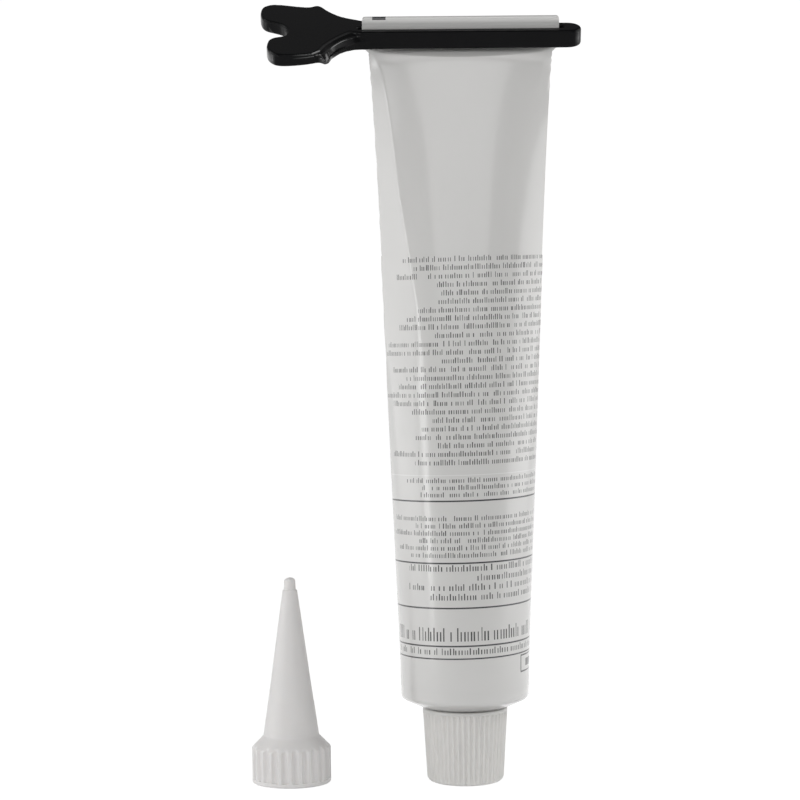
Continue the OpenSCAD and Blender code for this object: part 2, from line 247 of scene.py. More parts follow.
# The nozzle
NOZZLE_X = -43.75 * MM
NOZZLE_H = 51.6 * MM
NOZZLE_BASE_R = 9.9 * MM
NOZZLE_BASE_H = 8.9 * MM
NOZZLE_CONE_R = 7 * MM
NOZZLE_TOP_R = 1.85 * MM
NOZZLE_TIP_R = 1.5 * MM
NOZZLE_TIP_H = 3.2 * MM
NOZZLE_WALL = 1.4 * MM
NOZZLE_RIM_H = 1.1 * MM
NOZZLE_GROOVE_R = 0.85 * MM
NOZZLE_GROOVE_COLUMNS = 14
NOZZLE_SOCKET_H = 9.2 * MM
NOZZLE_THREAD_Z = 1.2 * MM
NOZZLE_TURNS = 2.2
NOZZLE_WITNESS_Z = 20.5 * MM

# The camera, from the photograph: 800 pixels across
CAMERA_AT = Vector((-15.7, -624.0, 126.8)) * MM
CAMERA_DOWN = math.radians(2.84)
CAMERA_ROLL = math.radians(-0.49)
FOCAL_PX = 2500
PHOTO_PX = 800
SENSOR_MM = 36

# Each lamp: its place, its size across and up, and its power. All of them face the tube's middle.
LAMPS = {
    "left_panel": ((-0.8, 0.05, 0.35), 0.8, 1.2, 4.0),
    "right_panel": ((0.8, 0.05, 0.35), 0.8, 1.2, 4.9),
    "front_softbox": ((0, -1.3, 0.75), 1.7, 1.0, 7.5),
    "left_strip": ((-0.55, -0.35, 0.16), 0.12, 0.3, 0.45),
}
LAMP_AIM = Vector((0, 0, 0.1))
WORLD_LIGHT = 0.12

# Noise on the skin of the tube and the label: scale per metre and detail
DENTS = (45, 2)
CLOUD = (30, 3)

# Angles in degrees under which edges are smooth
SKIN_SMOOTH = 35
THREAD_SMOOTH = 40
NOZZLE_SMOOTH = 45
CAP_SMOOTH = 50
KEY_SMOOTH = 60


def mix(a, b, k):
    """The value a share k of the way from a to b."""
    return a * (1 - k) + b * k


# Modelling helpers


def deselect():
    """Leaves nothing selected, so that the next operator acts on the new piece alone."""
    if bpy.context.mode != "OBJECT":
        bpy.ops.object.mode_set(mode="OBJECT")
    bpy.ops.object.select_all(action="DESELECT")


def focus(piece):
    """Selects one piece and makes it the active one."""
    deselect()
    piece.select_set(True)
    bpy.context.view_layer.objects.active = piece


def edit(piece, action="SELECT"):
    """Opens one piece in edit mode, with all of it selected."""
    focus(piece)
    bpy.ops.object.mode_set(mode="EDIT")
    bpy.ops.mesh.select_all(action=action)


def leave_edit():
    """Turns all faces outwards and leaves edit mode."""
    bpy.ops.mesh.select_all(action="SELECT")
    bpy.ops.mesh.normals_make_consistent(inside=False)
    bpy.ops.object.mode_set(mode="OBJECT")


def name_piece(name):
    """Names the active piece and its mesh."""
    piece = bpy.context.active_object
    piece.name = name
    piece.data.name = name
    return piece


def weld(piece):
    """Merges doubles and turns the faces outwards."""
    gap = 1e-7
    edit(piece)
    bpy.ops.mesh.remove_doubles(threshold=gap)
    bpy.ops.mesh.dissolve_degenerate(threshold=gap)
    leave_edit()


def close_ends(piece):
    """Fills the open loops of a piece."""
    edit(piece, "DESELECT")
    bpy.ops.mesh.select_mode(type="EDGE")
    bpy.ops.mesh.select_non_manifold(extend=False, use_wire=False, use_multi_face=False,
                                     use_non_contiguous=False, use_verts=False)
    bpy.ops.mesh.edge_face_add()
    bpy.ops.mesh.select_mode(type="VERT")
    leave_edit()


def shaped_grid(name, around, along, place):
    """A grid primitive whose points go where place(u, v) says, welded along its seam."""
    deselect()
    bpy.ops.mesh.primitive_grid_add(x_subdivisions=around, y_subdivisions=along, size=1)
    piece = name_piece(name)
    row = around + 1
    for i, vertex in enumerate(piece.data.vertices):
        vertex.co = place((i % row) / around, (i // row) / along)
    weld(piece)
    return piece


def turned(name, profile, around, at_x=0.0, shape=None):
    """A profile of (radius, height) turned round an upright axis. A shape may draw the radius in."""
    along = len(profile) - 1

    def place(u, v):
        r, z = profile[round(v * along)]
        angle = 2 * math.pi * (u - 0.5)
        if shape:
            r = shape(r, z, angle)
        return Vector((at_x + r * math.sin(angle), -r * math.cos(angle), z))

    return shaped_grid(name, around, along, place)


def arc(cx, cy, r, start, end, steps):
    """Points on an arc, with the angles in degrees."""
    angles = [math.radians(mix(start, end, i / steps)) for i in range(steps + 1)]
    return [(cx + r * math.cos(a), cy + r * math.sin(a)) for a in angles]


def grooved(r, angle, wall, count, groove_r, depth, phase):
    """The radius r, drawn in where one of a wall's round grooves runs up it."""
    pitch = 2 * math.pi / count
    arc_len = ((angle / pitch + phase) % 1 - 0.5) * pitch * wall
    if abs(arc_len) >= groove_r:
        return r
    return min(r, wall + groove_r - depth - math.sqrt(groove_r ** 2 - arc_len ** 2))


def filled_in(profile, step):
    """The same profile with its long straight stretches divided."""
    points = [profile[0]]
    for a, b in zip(profile, profile[1:]):
        count = max(1, math.ceil(math.dist(a, b) / step))
        points += [(mix(a[0], b[0], k / count), mix(a[1], b[1], k / count)) for k in range(1, count + 1)]
    return points


def modifier(piece, kind, **settings):
    """Adds a modifier to a piece and applies it."""
    focus(piece)
    made = piece.modifiers.new(kind.title(), kind)
    for key, value in settings.items():
        setattr(made, key, value)
    bpy.ops.object.modifier_apply(modifier=made.name)


def join(pieces, name):
    """Joins pieces into the first of them."""
    focus(pieces[0])
    for piece in pieces[1:]:
        piece.select_set(True)
    bpy.ops.object.join()
    return name_piece(name)


def post(name, at, r, height, sides):
    """A round post about the point at."""
    deselect()
    bpy.ops.mesh.primitive_cylinder_add(vertices=sides, radius=r, depth=height, location=at)
    return name_piece(name)


def hull(posts, name):
    """One closed plate, drawn tight round all of the posts, with its place in its mesh."""
    plate = join(posts, name)
    focus(plate)
    bpy.ops.object.transform_apply(location=True, rotation=True, scale=True)
    edit(plate)
    bpy.ops.mesh.convex_hull()
    bpy.ops.object.mode_set(mode="OBJECT")
    return plate


def lean_on_flap(piece):
    """Takes a piece from the flap's own axes to its place on the leaning crimp."""
    piece.data.transform(Matrix.Translation(FLAP_AT) @ Matrix.Rotation(FLAP_TILT, 4, "X"))


def finish_piece(piece, material, body, node=None, smooth_deg=THREAD_SMOOTH):
    """Gives a piece its finish and its body, and hides the solid that it stands for, where one is named."""
    focus(piece)
    bpy.ops.object.shade_smooth_by_angle(angle=math.radians(smooth_deg))
    piece.data.materials.clear()
    piece.data.materials.append(material)
    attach(piece, body)
    if node:
        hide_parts(node)


def thread_ridge(name, wall_r, height, low_z, turns, at_x=0.0, phase=0.0):
    """A right-hand thread's ridge on a wall. A negative height points inwards, as in a socket."""
    sunk = -THREAD_SUNK if height > 0 else THREAD_SUNK
    section = [(-0.5, sunk), (-THREAD_CREST, height), (THREAD_CREST, height), (0.5, sunk)]
    steps = round(turns * THREAD_STEPS)
    runout = THREAD_RUNOUT / turns

    def place(u, v):
        across, rise = section[round(u * 4) % 4]
        fade = min(1, v / runout, (1 - v) / runout)
        angle = 2 * math.pi * (v * turns + phase)
        r = wall_r + sunk + (rise - sunk) * fade
        z = low_z + v * turns * THREAD_PITCH + across * THREAD_W * fade
        return Vector((at_x + r * math.cos(angle), r * math.sin(angle), z))

    return shaped_grid(name, 4, steps, place)


# Shader helpers


def maths(operation, reflected=False):
    """A method that adds a Math node for a wire. In the reflected form the wire comes second."""
    def method(wire, *others):
        sides = (*others, wire) if reflected else (wire, *others)
        return wire.sheet.math(operation, *sides)

    return method


class Wire:
    """An output socket, on which Python's arithmetic adds Math nodes."""

    def __init__(self, sheet, socket):
        self.sheet = sheet
        self.socket = socket

    __add__ = maths("ADD")
    __radd__ = maths("ADD", True)
    __sub__ = maths("SUBTRACT")
    __rsub__ = maths("SUBTRACT", True)
    __mul__ = maths("MULTIPLY")
    __rmul__ = maths("MULTIPLY", True)
    __truediv__ = maths("DIVIDE")
    __rtruediv__ = maths("DIVIDE", True)
    __gt__ = maths("GREATER_THAN")
    __lt__ = maths("LESS_THAN")
    floor = maths("FLOOR")
    fract = maths("FRACT")
    abs = maths("ABSOLUTE")

    def between(self, low, high):
        """A pattern that runs from 0 to 1, carried over to run from low to high."""
        return self * (high - low) + low


class Sheet:
    """A material or world under construction: its nodes and its shader."""

    def __init__(self, block, output="ShaderNodeOutputMaterial"):
        self.block = block
        block.use_nodes = True
        self.tree = block.node_tree
        self.tree.nodes.clear()
        self.output = self.tree.nodes.new(output)

    def add(self, kind, sockets=None, **settings):
        """Adds a node, sets it up, and gives its sockets values or links."""
        node = self.tree.nodes.new(kind)
        for key, value in settings.items():
            setattr(node, key, value)
        for key, value in (sockets or {}).items():
            if isinstance(value, Wire):
                self.tree.links.new(value.socket, node.inputs[key])
            else:
                node.inputs[key].default_value = value
        return node

    def wire(self, node, output=0):
        return Wire(self, node.outputs[output])

    def out(self, kind, sockets=None, output=0, **settings):
        """Adds a node and returns one of its outputs."""
        return self.wire(self.add(kind, sockets, **settings), output)

    def math(self, operation, *values):
        return self.out("ShaderNodeMath", dict(enumerate(values)), operation=operation)

    def both(self, *masks):
        """One where every mask is one."""
        whole = masks[0]
        for mask in masks[1:]:
            whole = whole * mask
        return whole

    def either(self, *masks):
        """One where any mask is one."""
        whole = masks[0]
        for mask in masks[1:]:
            whole = self.math("MAXIMUM", whole, mask)
        return whole

    def band(self, value, middle, half):
        """One where a value lies within half of middle."""
        return (value - middle).abs() < half

    def box(self, x, z, mid_x, half_x, mid_z, half_z):
        """One inside a rectangle."""
        return self.both(self.band(x, mid_x, half_x), self.band(z, mid_z, half_z))

    def ramp(self, value, low, high):
        """From zero to one as a value goes from low to high."""
        return self.out("ShaderNodeMapRange", {0: value, 1: low, 2: high, 3: 0.0, 4: 1.0})

    def hump(self, value, middle, half):
        """One at middle, falling to zero half away on either side."""
        return self.math("MAXIMUM", 1 - (value - middle).abs() / half, 0.0)

    def place(self):
        """The Object coordinates, as three wires in millimetres."""
        parts = self.add("ShaderNodeSeparateXYZ", {0: self.object_vector()})
        return [self.wire(parts, i) * (1 / MM) for i in range(3)]

    def up_flap(self, y, z):
        """The height up the leaning crimp from the end of the bend, in millimetres."""
        return (z - FLAP_AT.z / MM) * math.cos(FLAP_TILT) - (y - FLAP_AT.y / MM) * math.sin(FLAP_TILT)

    def object_vector(self):
        return self.out("ShaderNodeTexCoord", output="Object")

    def noise(self, vector, scale, detail, roughness=0.5):
        """A soft noise from 0 to 1, with its scale per metre."""
        return self.out("ShaderNodeTexNoise",
                        {"Vector": vector, "Scale": scale, "Detail": detail, "Roughness": roughness})

    def tint(self, colour, shade):
        """A colour multiplied by a grey value."""
        grey = self.out("ShaderNodeCombineColor", {0: shade, 1: shade, 2: shade})
        return self.out("ShaderNodeMix", {0: 1.0, 6: (*colour, 1), 7: grey}, 2,
                        data_type="RGBA", blend_type="MULTIPLY")

    def blend(self, mask, under, colour):
        """The colour that lies under, painted over with another where the mask says."""
        return self.out("ShaderNodeMix", {0: mask, 6: under, 7: (*colour, 1)}, 2, data_type="RGBA")

    def bump(self, height, distance, strength):
        return self.out("ShaderNodeBump", {"Height": height, "Distance": distance, "Strength": strength})

    def surface(self, **sockets):
        """Closes the material with a Principled shader. An underscore stands for a space."""
        named = {key.replace("_", " "): value for key, value in sockets.items()}
        return self.close(self.out("ShaderNodeBsdfPrincipled", named))

    def close(self, shader):
        """Links the shader to the output, and returns what the sheet was for."""
        self.tree.links.new(shader.socket, self.output.inputs[0])
        return self.block


# Materials


def lacquer_material(colour):
    """Satin white lacquer on soft aluminium, with faint handling dents and a fine orange peel."""
    sheet = Sheet(bpy.data.materials.new("satin_lacquer"))
    spot = sheet.object_vector()
    x, y, z = sheet.place()
    peel = sheet.noise(spot, 900, 3)
    dents = sheet.noise(spot, *DENTS)
    cloud = sheet.noise(spot, *CLOUD)
    up_flap = sheet.up_flap(y, z)
    in_front = y < FLAP_AT.y / MM
    mark = sheet.both(sheet.box(x, up_flap, *REGISTER_MARK), in_front)
    # Painted shade: the lacquer is darkened where the shoulder turns under,
    # and on the crimp's front under its top edge
    shoulder = sheet.ramp(z, *(SEAT_Z / MM + edge for edge in SHOULDER_PAINTED_SHADE)).between(SHOULDER_PAINTED_SHADE_DARKEST, 1)
    fold_painted_shade = 1 - sheet.both(sheet.hump(up_flap, *FOLD_PAINTED_SHADE), in_front) * FOLD_PAINTED_SHADE_STRENGTH
    shade = cloud.between(0.975, 1.025) * shoulder * fold_painted_shade
    return sheet.surface(
        Base_Color=sheet.blend(mark, sheet.tint(colour, shade), INK),
        Roughness=cloud.between(0.3, 0.4),
        Coat_Weight=1.0,
        Coat_Roughness=0.14,
        Normal=sheet.bump(peel * 0.12 + dents, 0.00012, 0.35))


def tick_rows(sheet, across, up, top, pitch, count, height, cell, left, ragged, seed):
    """Rows of small upright ticks in uneven groups, with a ragged left end."""
    level = (top - up) / pitch
    row = level.floor()
    down = level.fract() * pitch
    column = (across / cell).floor()
    inside = (across / cell).fract()
    key = sheet.out("ShaderNodeCombineXYZ", {0: column, 1: row + seed, 2: 0.0})
    dice = sheet.out("ShaderNodeTexWhiteNoise", {"Vector": key}, "Color", noise_dimensions="2D")
    rolls = sheet.add("ShaderNodeSeparateColor", {0: dice})
    first, second, third = (sheet.wire(rolls, i) for i in range(3))
    row_dice = sheet.out("ShaderNodeTexWhiteNoise", {"W": row + seed * 3.7}, "Value", noise_dimensions="1D")
    start = row_dice * ragged + left
    tick = sheet.both((inside - first.between(*TICK_MIDDLE)).abs() < second.between(*TICK_HALF),
                      down > (third > SHORT_TICKS).between(height * SHORT_BY, 0),
                      down < height)
    filled = first * 0.5 + second * 0.5 > EMPTY_CELLS
    return sheet.both(tick, filled, level > 0, level < count, across > start)


def film_material(colour):
    """White label film with dark print on the film's own UV map: ticks, rules and a plain framed mark."""
    sheet = Sheet(bpy.data.materials.new("printed_film"))
    parts = sheet.add("ShaderNodeSeparateXYZ", {0: sheet.out("ShaderNodeUVMap")})
    across = (sheet.wire(parts, 0) - 0.5) * (GIRTH / MM)
    up = sheet.wire(parts, 1) * (LABEL_H / MM) + LABEL_LOW / MM
    level = up - across * PRINT_SLANT
    inks = [tick_rows(sheet, across, level, *block) for block in TICK_BLOCKS]
    inks += [sheet.box(across, level, *RULES_ACROSS, *rule) for rule in RULES]
    mid_x, half_x, mid_z, half_z, line = FRAMED_MARK
    outer = sheet.box(across, level, mid_x, half_x, mid_z, half_z)
    inner = sheet.box(across, level, mid_x, half_x - line, mid_z, half_z - line)
    filled = sheet.box(across, level, mid_x, half_x * MARK_FILL[0], mid_z, half_z * MARK_FILL[1])
    ink = sheet.either(*inks, outer - inner, filled)
    spot = sheet.object_vector()
    cloud = sheet.noise(spot, *CLOUD)
    grain = sheet.noise(spot, 1500, 2)
    edge = sheet.band(level, *FILM_STEP)
    paper = sheet.blend(edge * 0.5, sheet.tint(colour, cloud.between(0.98, 1.02)), STEP_WHITE)
    height = grain * 0.3 + sheet.noise(spot, *DENTS) * 2 + edge * 0.6
    return sheet.surface(
        Base_Color=sheet.blend(ink * INK_COVER, paper, INK),
        Roughness=ink * 0.12 + cloud.between(0.34, 0.42),
        Coat_Weight=1.0,
        Coat_Roughness=0.16,
        Normal=sheet.bump(height, 0.00006, 0.4))


def plastic_material(name, colour, rough, clear):
    """Moulded plastic with a faint grain. clear is how much light goes into it."""
    sheet = Sheet(bpy.data.materials.new(name))
    spot = sheet.object_vector()
    grain = sheet.noise(spot, 2200, 2)
    cloud = sheet.noise(spot, 120, 3)
    return sheet.surface(
        Base_Color=sheet.tint(colour, cloud.between(0.975, 1.025)),
        Roughness=cloud.between(rough - 0.06, rough + 0.06),
        Subsurface_Weight=clear,
        Subsurface_Radius=(1.0, 0.95, 0.9),
        Subsurface_Scale=0.0012,
        Normal=sheet.bump(grain * 0.4 + cloud * 0.6, 0.00004, 0.3))


def black_plastic_material(colour):
    """Half-gloss black moulded plastic with faint flow marks and fine scuffs."""
    sheet = Sheet(bpy.data.materials.new("black_plastic"))
    spot = sheet.object_vector()
    flow = sheet.noise(sheet.out("ShaderNodeMapping", {"Vector": spot, "Scale": (60, 900, 900)}), 1.0, 3)
    cloud = sheet.noise(spot, 160, 4, 0.6)
    grain = sheet.noise(spot, 1800, 2)
    x, y, z = sheet.place()
    level = sheet.up_flap(y, z) - KEY_UP / MM
    # The top edge and the rim are polished along the grip's front flank, the top edge alone along the
    # far flank, and the walls at the shoulder, at the front lobe's corner, in the notch and at the bar's end
    top_edge = sheet.band(level, *TOP_POLISH)
    front_slopes = [sheet.ramp(x, *slope) for slope in FRONT_SLOPES]
    back_slopes = [sheet.ramp(x, *slope) for slope in BACK_SLOPES]
    front = sheet.both(sheet.either(top_edge, sheet.band(level, *RIM_POLISH)), *front_slopes, y < FRONT_Y)
    back = sheet.both(top_edge, *back_slopes, y > BACK_Y)
    spots = sheet.either(*(sheet.hump(x, *spot) for spot in WALL_SPOTS))
    walls = sheet.both(spots, sheet.hump(level, *WALL_HEIGHT),
                       sheet.either(y < SHOULDER_Y, sheet.band(y, *NOTCH_Y)))
    end = sheet.both(sheet.hump(x, *BAR_END), sheet.hump(level, *BAR_END_HEIGHT), y < FRONT_Y)
    return sheet.surface(
        Base_Color=sheet.tint(colour, cloud.between(0.7, 1.3)),
        Roughness=cloud.between(0.12, 0.32),
        Specular_IOR_Level=0.07,
        Coat_Weight=sheet.either(front, back, walls, end * BAR_END_POLISH),
        Coat_IOR=1.8,
        Coat_Roughness=0.1,
        Normal=sheet.bump(grain * 0.3 + flow * 0.4 + cloud, 0.00006, 0.35))


def foam_material(colour):
    """Closed-cell foam of the sealing disc."""
    sheet = Sheet(bpy.data.materials.new("seal_foam"))
    spot = sheet.object_vector()
    pore = sheet.out("ShaderNodeTexVoronoi", {"Vector": spot, "Scale": 2500}, "Distance")
    return sheet.surface(
        Base_Color=sheet.tint(colour, pore.between(0.9, 1.05)),
        Roughness=0.75,
        Normal=sheet.bump(pore, 0.00008, 0.5))


def sweep_material():
    """The studio's white sweep. It shows as plain white to the camera and in gloss, and keeps the shadow."""
    sheet = Sheet(bpy.data.materials.new("studio_white"))
    path = sheet.add("ShaderNodeLightPath")
    seen = sheet.either(sheet.wire(path, "Is Camera Ray"), sheet.wire(path, "Is Glossy Ray"),
                        sheet.wire(path, "Is Transmission Ray"))
    diffuse = sheet.out("ShaderNodeBsdfDiffuse", {"Color": (0.92, 0.92, 0.92, 1)})
    glow = sheet.out("ShaderNodeEmission", {"Color": (1, 1, 1, 1), "Strength": 1.25})
    return sheet.close(sheet.out("ShaderNodeMixShader", {0: seen * 0.75, 1: diffuse, 2: glow}))


# Forms of the tube


def flattening(s):
    """Share of the full flattening at distance s along the body's middle line."""
    if s >= PINCH_S:
        return mix(UNDER_KEY, 1, min(1, (s - PINCH_S) / PINCH_LEN) ** 1.4)
    q = max(0, (s - TAPER_Z) / (PINCH_S - TAPER_Z))
    return UNDER_KEY * ((1 - FLARE_SHARE) * q + FLARE_SHARE * q ** FLARE_POWER)


def crease_at(crease, s):
    """Angle and rise of a crease at distance s along the body."""
    spot = s / MM
    if spot >= crease[0][0]:
        return math.radians(crease[0][1]), 0.0
    for (high, a, rise_a), (low, b, rise_b) in zip(crease, crease[1:]):
        if spot >= low:
            k = (high - spot) / (high - low)
            return math.radians(mix(a, b, k)), mix(rise_a, rise_b, k) * MM
    return math.radians(crease[-1][1]), 0.0


def column_angle(u, s):
    """Angle of a column of the skin, with one column along each crease."""
    ridges = [(column, crease_at(crease, s)[0]) for column, crease in zip(CREASE_COLUMNS, CREASES)]
    stops = [(0, -math.pi), *ridges, (1, math.pi)]
    for (u0, a0), (u1, a1) in zip(stops, stops[1:]):
        if u <= u1:
            return mix(a0, a1, (u - u0) / (u1 - u0))
    return math.pi


def creased(s, angle, across, deep):
    """Depth of the front skin: flat from the tube's edge to a crease's ridge, and falling away past it."""
    edge = across(math.pi / 2)
    x = across(angle)
    depth = deep(angle)
    for crease in CREASES:
        ridge, rise = crease_at(crease, s)
        if rise <= 0 or angle * ridge < 0 or abs(angle) > math.pi / 2:
            continue
        ridge_x = abs(across(ridge))
        top = deep(ridge) + rise
        if abs(x) > ridge_x:
            strength = min(1, rise / CREASE_FULL)
            flat = top * (edge - abs(x)) / (edge - ridge_x)
            depth = mix(depth + rise * (edge - abs(x)) / (edge - ridge_x), flat, strength)
        else:
            depth += rise * max(0, 1 - (ridge_x - abs(x)) / CREASE_FALL) ** 2
    return depth


def on_body(s, angle, grow=0.0):
    """The body's surface at distance s and angle from the front: the circle opens into the flat crimp."""
    t = flattening(s)
    lean = max(0, min(FLAP_TILT, (s - BEND_Z) / BEND_R))
    past = max(0, s - FLAP_S)
    y0 = -BEND_R * (1 - math.cos(lean)) - past * math.sin(lean)
    z0 = s if s < BEND_Z else BEND_Z + BEND_R * math.sin(lean) + past * math.cos(lean)
    half_depth = TUBE_R * (1 - t) ** FULLNESS + t * FLAP_T / 2
    quarter = math.pi / 2

    def across(a):
        run = a / quarter if abs(a) <= quarter else math.copysign(2 - abs(a) / quarter, a)
        return (1 - t) * TUBE_R * math.sin(a) + t * FLAT_HALF * run

    def deep(a):
        return half_depth * math.cos(a)

    x = across(angle) + grow * math.sin(angle)
    y = -creased(s, angle, across, deep) - grow * math.cos(angle)
    return Vector((x, y0 + y * math.cos(lean), z0 + y * math.sin(lean)))


def neck_profile():
    """Radius and height from the membrane over the lip and the seat to the shoulder's edge."""
    run = TUBE_R - SHOULDER_R - SEAT_R
    rise = (SHOULDER_R + math.sin(SHOULDER_SLOPE) * run) / math.cos(SHOULDER_SLOPE)
    edge_z = SEAT_Z + rise
    lip = 0.4 * MM
    mouth_edge = 0.15 * MM
    profile = [(0, MEMBRANE_Z), (MOUTH_R * 0.5, MEMBRANE_Z), (MOUTH_R, MEMBRANE_Z),
               (MOUTH_R, NECK_LIP_Z + lip), (MOUTH_R + mouth_edge, NECK_LIP_Z),
               (NECK_R - lip, NECK_LIP_Z), (NECK_R, NECK_LIP_Z + lip),
               *arc(NECK_R + lip, SEAT_Z - lip, lip, 180, 90, 4), (SEAT_R, SEAT_Z),
               *arc(TUBE_R - SHOULDER_R, edge_z, SHOULDER_R, math.degrees(SHOULDER_SLOPE) - 90, 0, 8)]
    return filled_in(profile, 2 * MM), edge_z


def colour_setting(name, what, default):
    """A colour that a user would change."""
    return FloatVectorProperty(
        name=name, description="Colour of " + what, subtype="COLOR", size=3, min=0, max=1, default=default)


def length_setting(name, description, low, high, default):
    """A small length that a user would change."""
    return FloatProperty(name=name, description=description, subtype="DISTANCE", unit="LENGTH",
                         min=low, max=high, default=default)


class SealantSettings(bpy.types.PropertyGroup):
    """What a user would change: colours, grooves and the fineness of the meshes."""

    lacquer: colour_setting("Lacquer", "the tube's lacquer", (0.71, 0.704, 0.69))
    film: colour_setting("Label film", "the label", (0.71, 0.704, 0.69))
    cap: colour_setting("Cap", "the cap", (0.79, 0.78, 0.76))
    nozzle: colour_setting("Nozzle", "the nozzle", (0.84, 0.825, 0.815))
    key: colour_setting("Key", "the winding key", (0.005, 0.005, 0.0055))
    foam: colour_setting("Seal", "the sealing disc", (0.7, 0.7, 0.68))
    cap_grooves: IntProperty(
        name="Cap grooves", description="Grip grooves round the cap", min=24, max=60, default=48)
    cap_groove_depth: length_setting(
        "Cap groove depth", "How deep a grip groove of the cap is", 0.0001, 0.0006, 0.0004)
    nozzle_grooves: IntProperty(
        name="Nozzle grooves", description="Grooves round the nozzle's grip", min=12, max=32, default=24)
    nozzle_groove_depth: length_setting(
        "Nozzle groove depth", "How deep a groove of the nozzle's grip is", 0.0001, 0.001, 0.00062)
    around: IntProperty(
        name="Sides", description="Faces round the tube", min=48, max=288, default=160)
    key_voxel: length_setting("Key detail", "Size of the key's faces", 0.0002, 0.001, 0.00025)


class SEALANT_OT_tube(bpy.types.Operator):
    """Model the lacquered tube with its neck, shoulder and folded crimp"""

    bl_idname = "sealant.tube"
    bl_label = "Tube"

    def execute(self, context):
        chosen = context.scene.sealant
        lacquer = lacquer_material(chosen.lacquer)
        neck, edge_z = neck_profile()
        stretches = [(edge_z, TAPER_Z, 5), (TAPER_Z, BEND_Z, 70), (BEND_Z, PINCH_S, 8),
                     (PINCH_S, PINCH_S + PINCH_LEN, 8)]
        body = [mix(low, high, k / count) for low, high, count in stretches for k in range(1, count + 1)]
        body += [FLAP_S + CRIMP_LOW + CRIMP_LAP]
        along = len(neck) + len(body) - 1

        def place(u, v):
            i = round(v * along)
            if i < len(neck):
                r, z = neck[i]
                angle = column_angle(u, z)
                return Vector((r * math.sin(angle), -r * math.cos(angle), z))
            s = body[i - len(neck)]
            return on_body(s, column_angle(u, s))

        skin = shaped_grid("tube_body", chosen.around, along, place)
        close_ends(skin)
        finish_piece(skin, lacquer, "tube_body", "tube", SKIN_SMOOTH)
        finish_piece(self.crimp(), lacquer, "tube_body", None, SKIN_SMOOTH)
        thread = thread_ridge("neck_thread", NECK_R, THREAD_H, THREAD_LOW_Z, NECK_TURNS)
        finish_piece(thread, lacquer, "tube_body")
        return {"FINISHED"}

    def crimp(self):
        """The folded end: rolled over to a thinner edge at the top, with rounded upper corners."""
        half = FLAT_HALF - CRIMP_IN
        front = -CRIMP_T / 2
        quarter_turn = [math.radians(9 * k) for k in range(11)]
        section = [(front, CRIMP_LOW), (front, mix(CRIMP_LOW, CRIMP_TOP, 0.4)), (front, CRIMP_TOP - FOLD_H)]
        section += [(front + FOLD_DEPTH * (1 - math.cos(a)), CRIMP_TOP - FOLD_H * (1 - math.sin(a)))
                    for a in quarter_turn[1:]]
        section += arc(-front - CRIMP_BACK_R, CRIMP_TOP - CRIMP_BACK_R, CRIMP_BACK_R, 90, 0, 4)
        section += [(-front, CRIMP_LOW), (0, CRIMP_LOW)]
        ends = [half - CRIMP_CORNER_R * (1 - math.sin(a)) for a in quarter_turn]
        straight = [mix(-1, 1, k / CRIMP_COLUMNS) * ends[0] for k in range(1, CRIMP_COLUMNS)]
        stations = [-x for x in reversed(ends)] + straight + ends

        def place(u, v):
            x = stations[round(v * (len(stations) - 1))]
            y, z = section[round(u * len(section)) % len(section)]
            past = max(0, abs(x) - half + CRIMP_CORNER_R)
            drop = CRIMP_CORNER_R - math.sqrt(max(0, CRIMP_CORNER_R ** 2 - past ** 2))
            high = (z - CRIMP_LOW) / (CRIMP_TOP - CRIMP_LOW)
            thin = 1 - CRIMP_CORNER_THIN * (drop / CRIMP_CORNER_R) ** 2
            return Vector((x, y * thin, z - drop * high))

        crimp = shaped_grid("crimp_fold", len(section), len(stations) - 1, place)
        close_ends(crimp)
        lean_on_flap(crimp)
        return crimp


class SEALANT_OT_label(bpy.types.Operator):
    """Wrap the printed film round the tube"""

    bl_idname = "sealant.label"
    bl_label = "Label"

    def execute(self, context):
        chosen = context.scene.sealant
        grow = LABEL_GAP + LABEL_T

        def place(u, v):
            s = LABEL_LOW + v * LABEL_H
            return on_body(s, column_angle(u, s), grow)

        film = shaped_grid("label_film", chosen.around, LABEL_ROWS, place)
        # The film's map keeps the true angles, so that the print isn't stretched beside a crease
        for corner in film.data.uv_layers.active.data:
            u, v = corner.uv
            corner.uv = (column_angle(u, LABEL_LOW + v * LABEL_H) / (2 * math.pi) + 0.5, v)
        modifier(film, "SOLIDIFY", thickness=LABEL_T, offset=-1)
        finish_piece(film, film_material(chosen.film), "tube_body", "label", SKIN_SMOOTH)
        return {"FINISHED"}


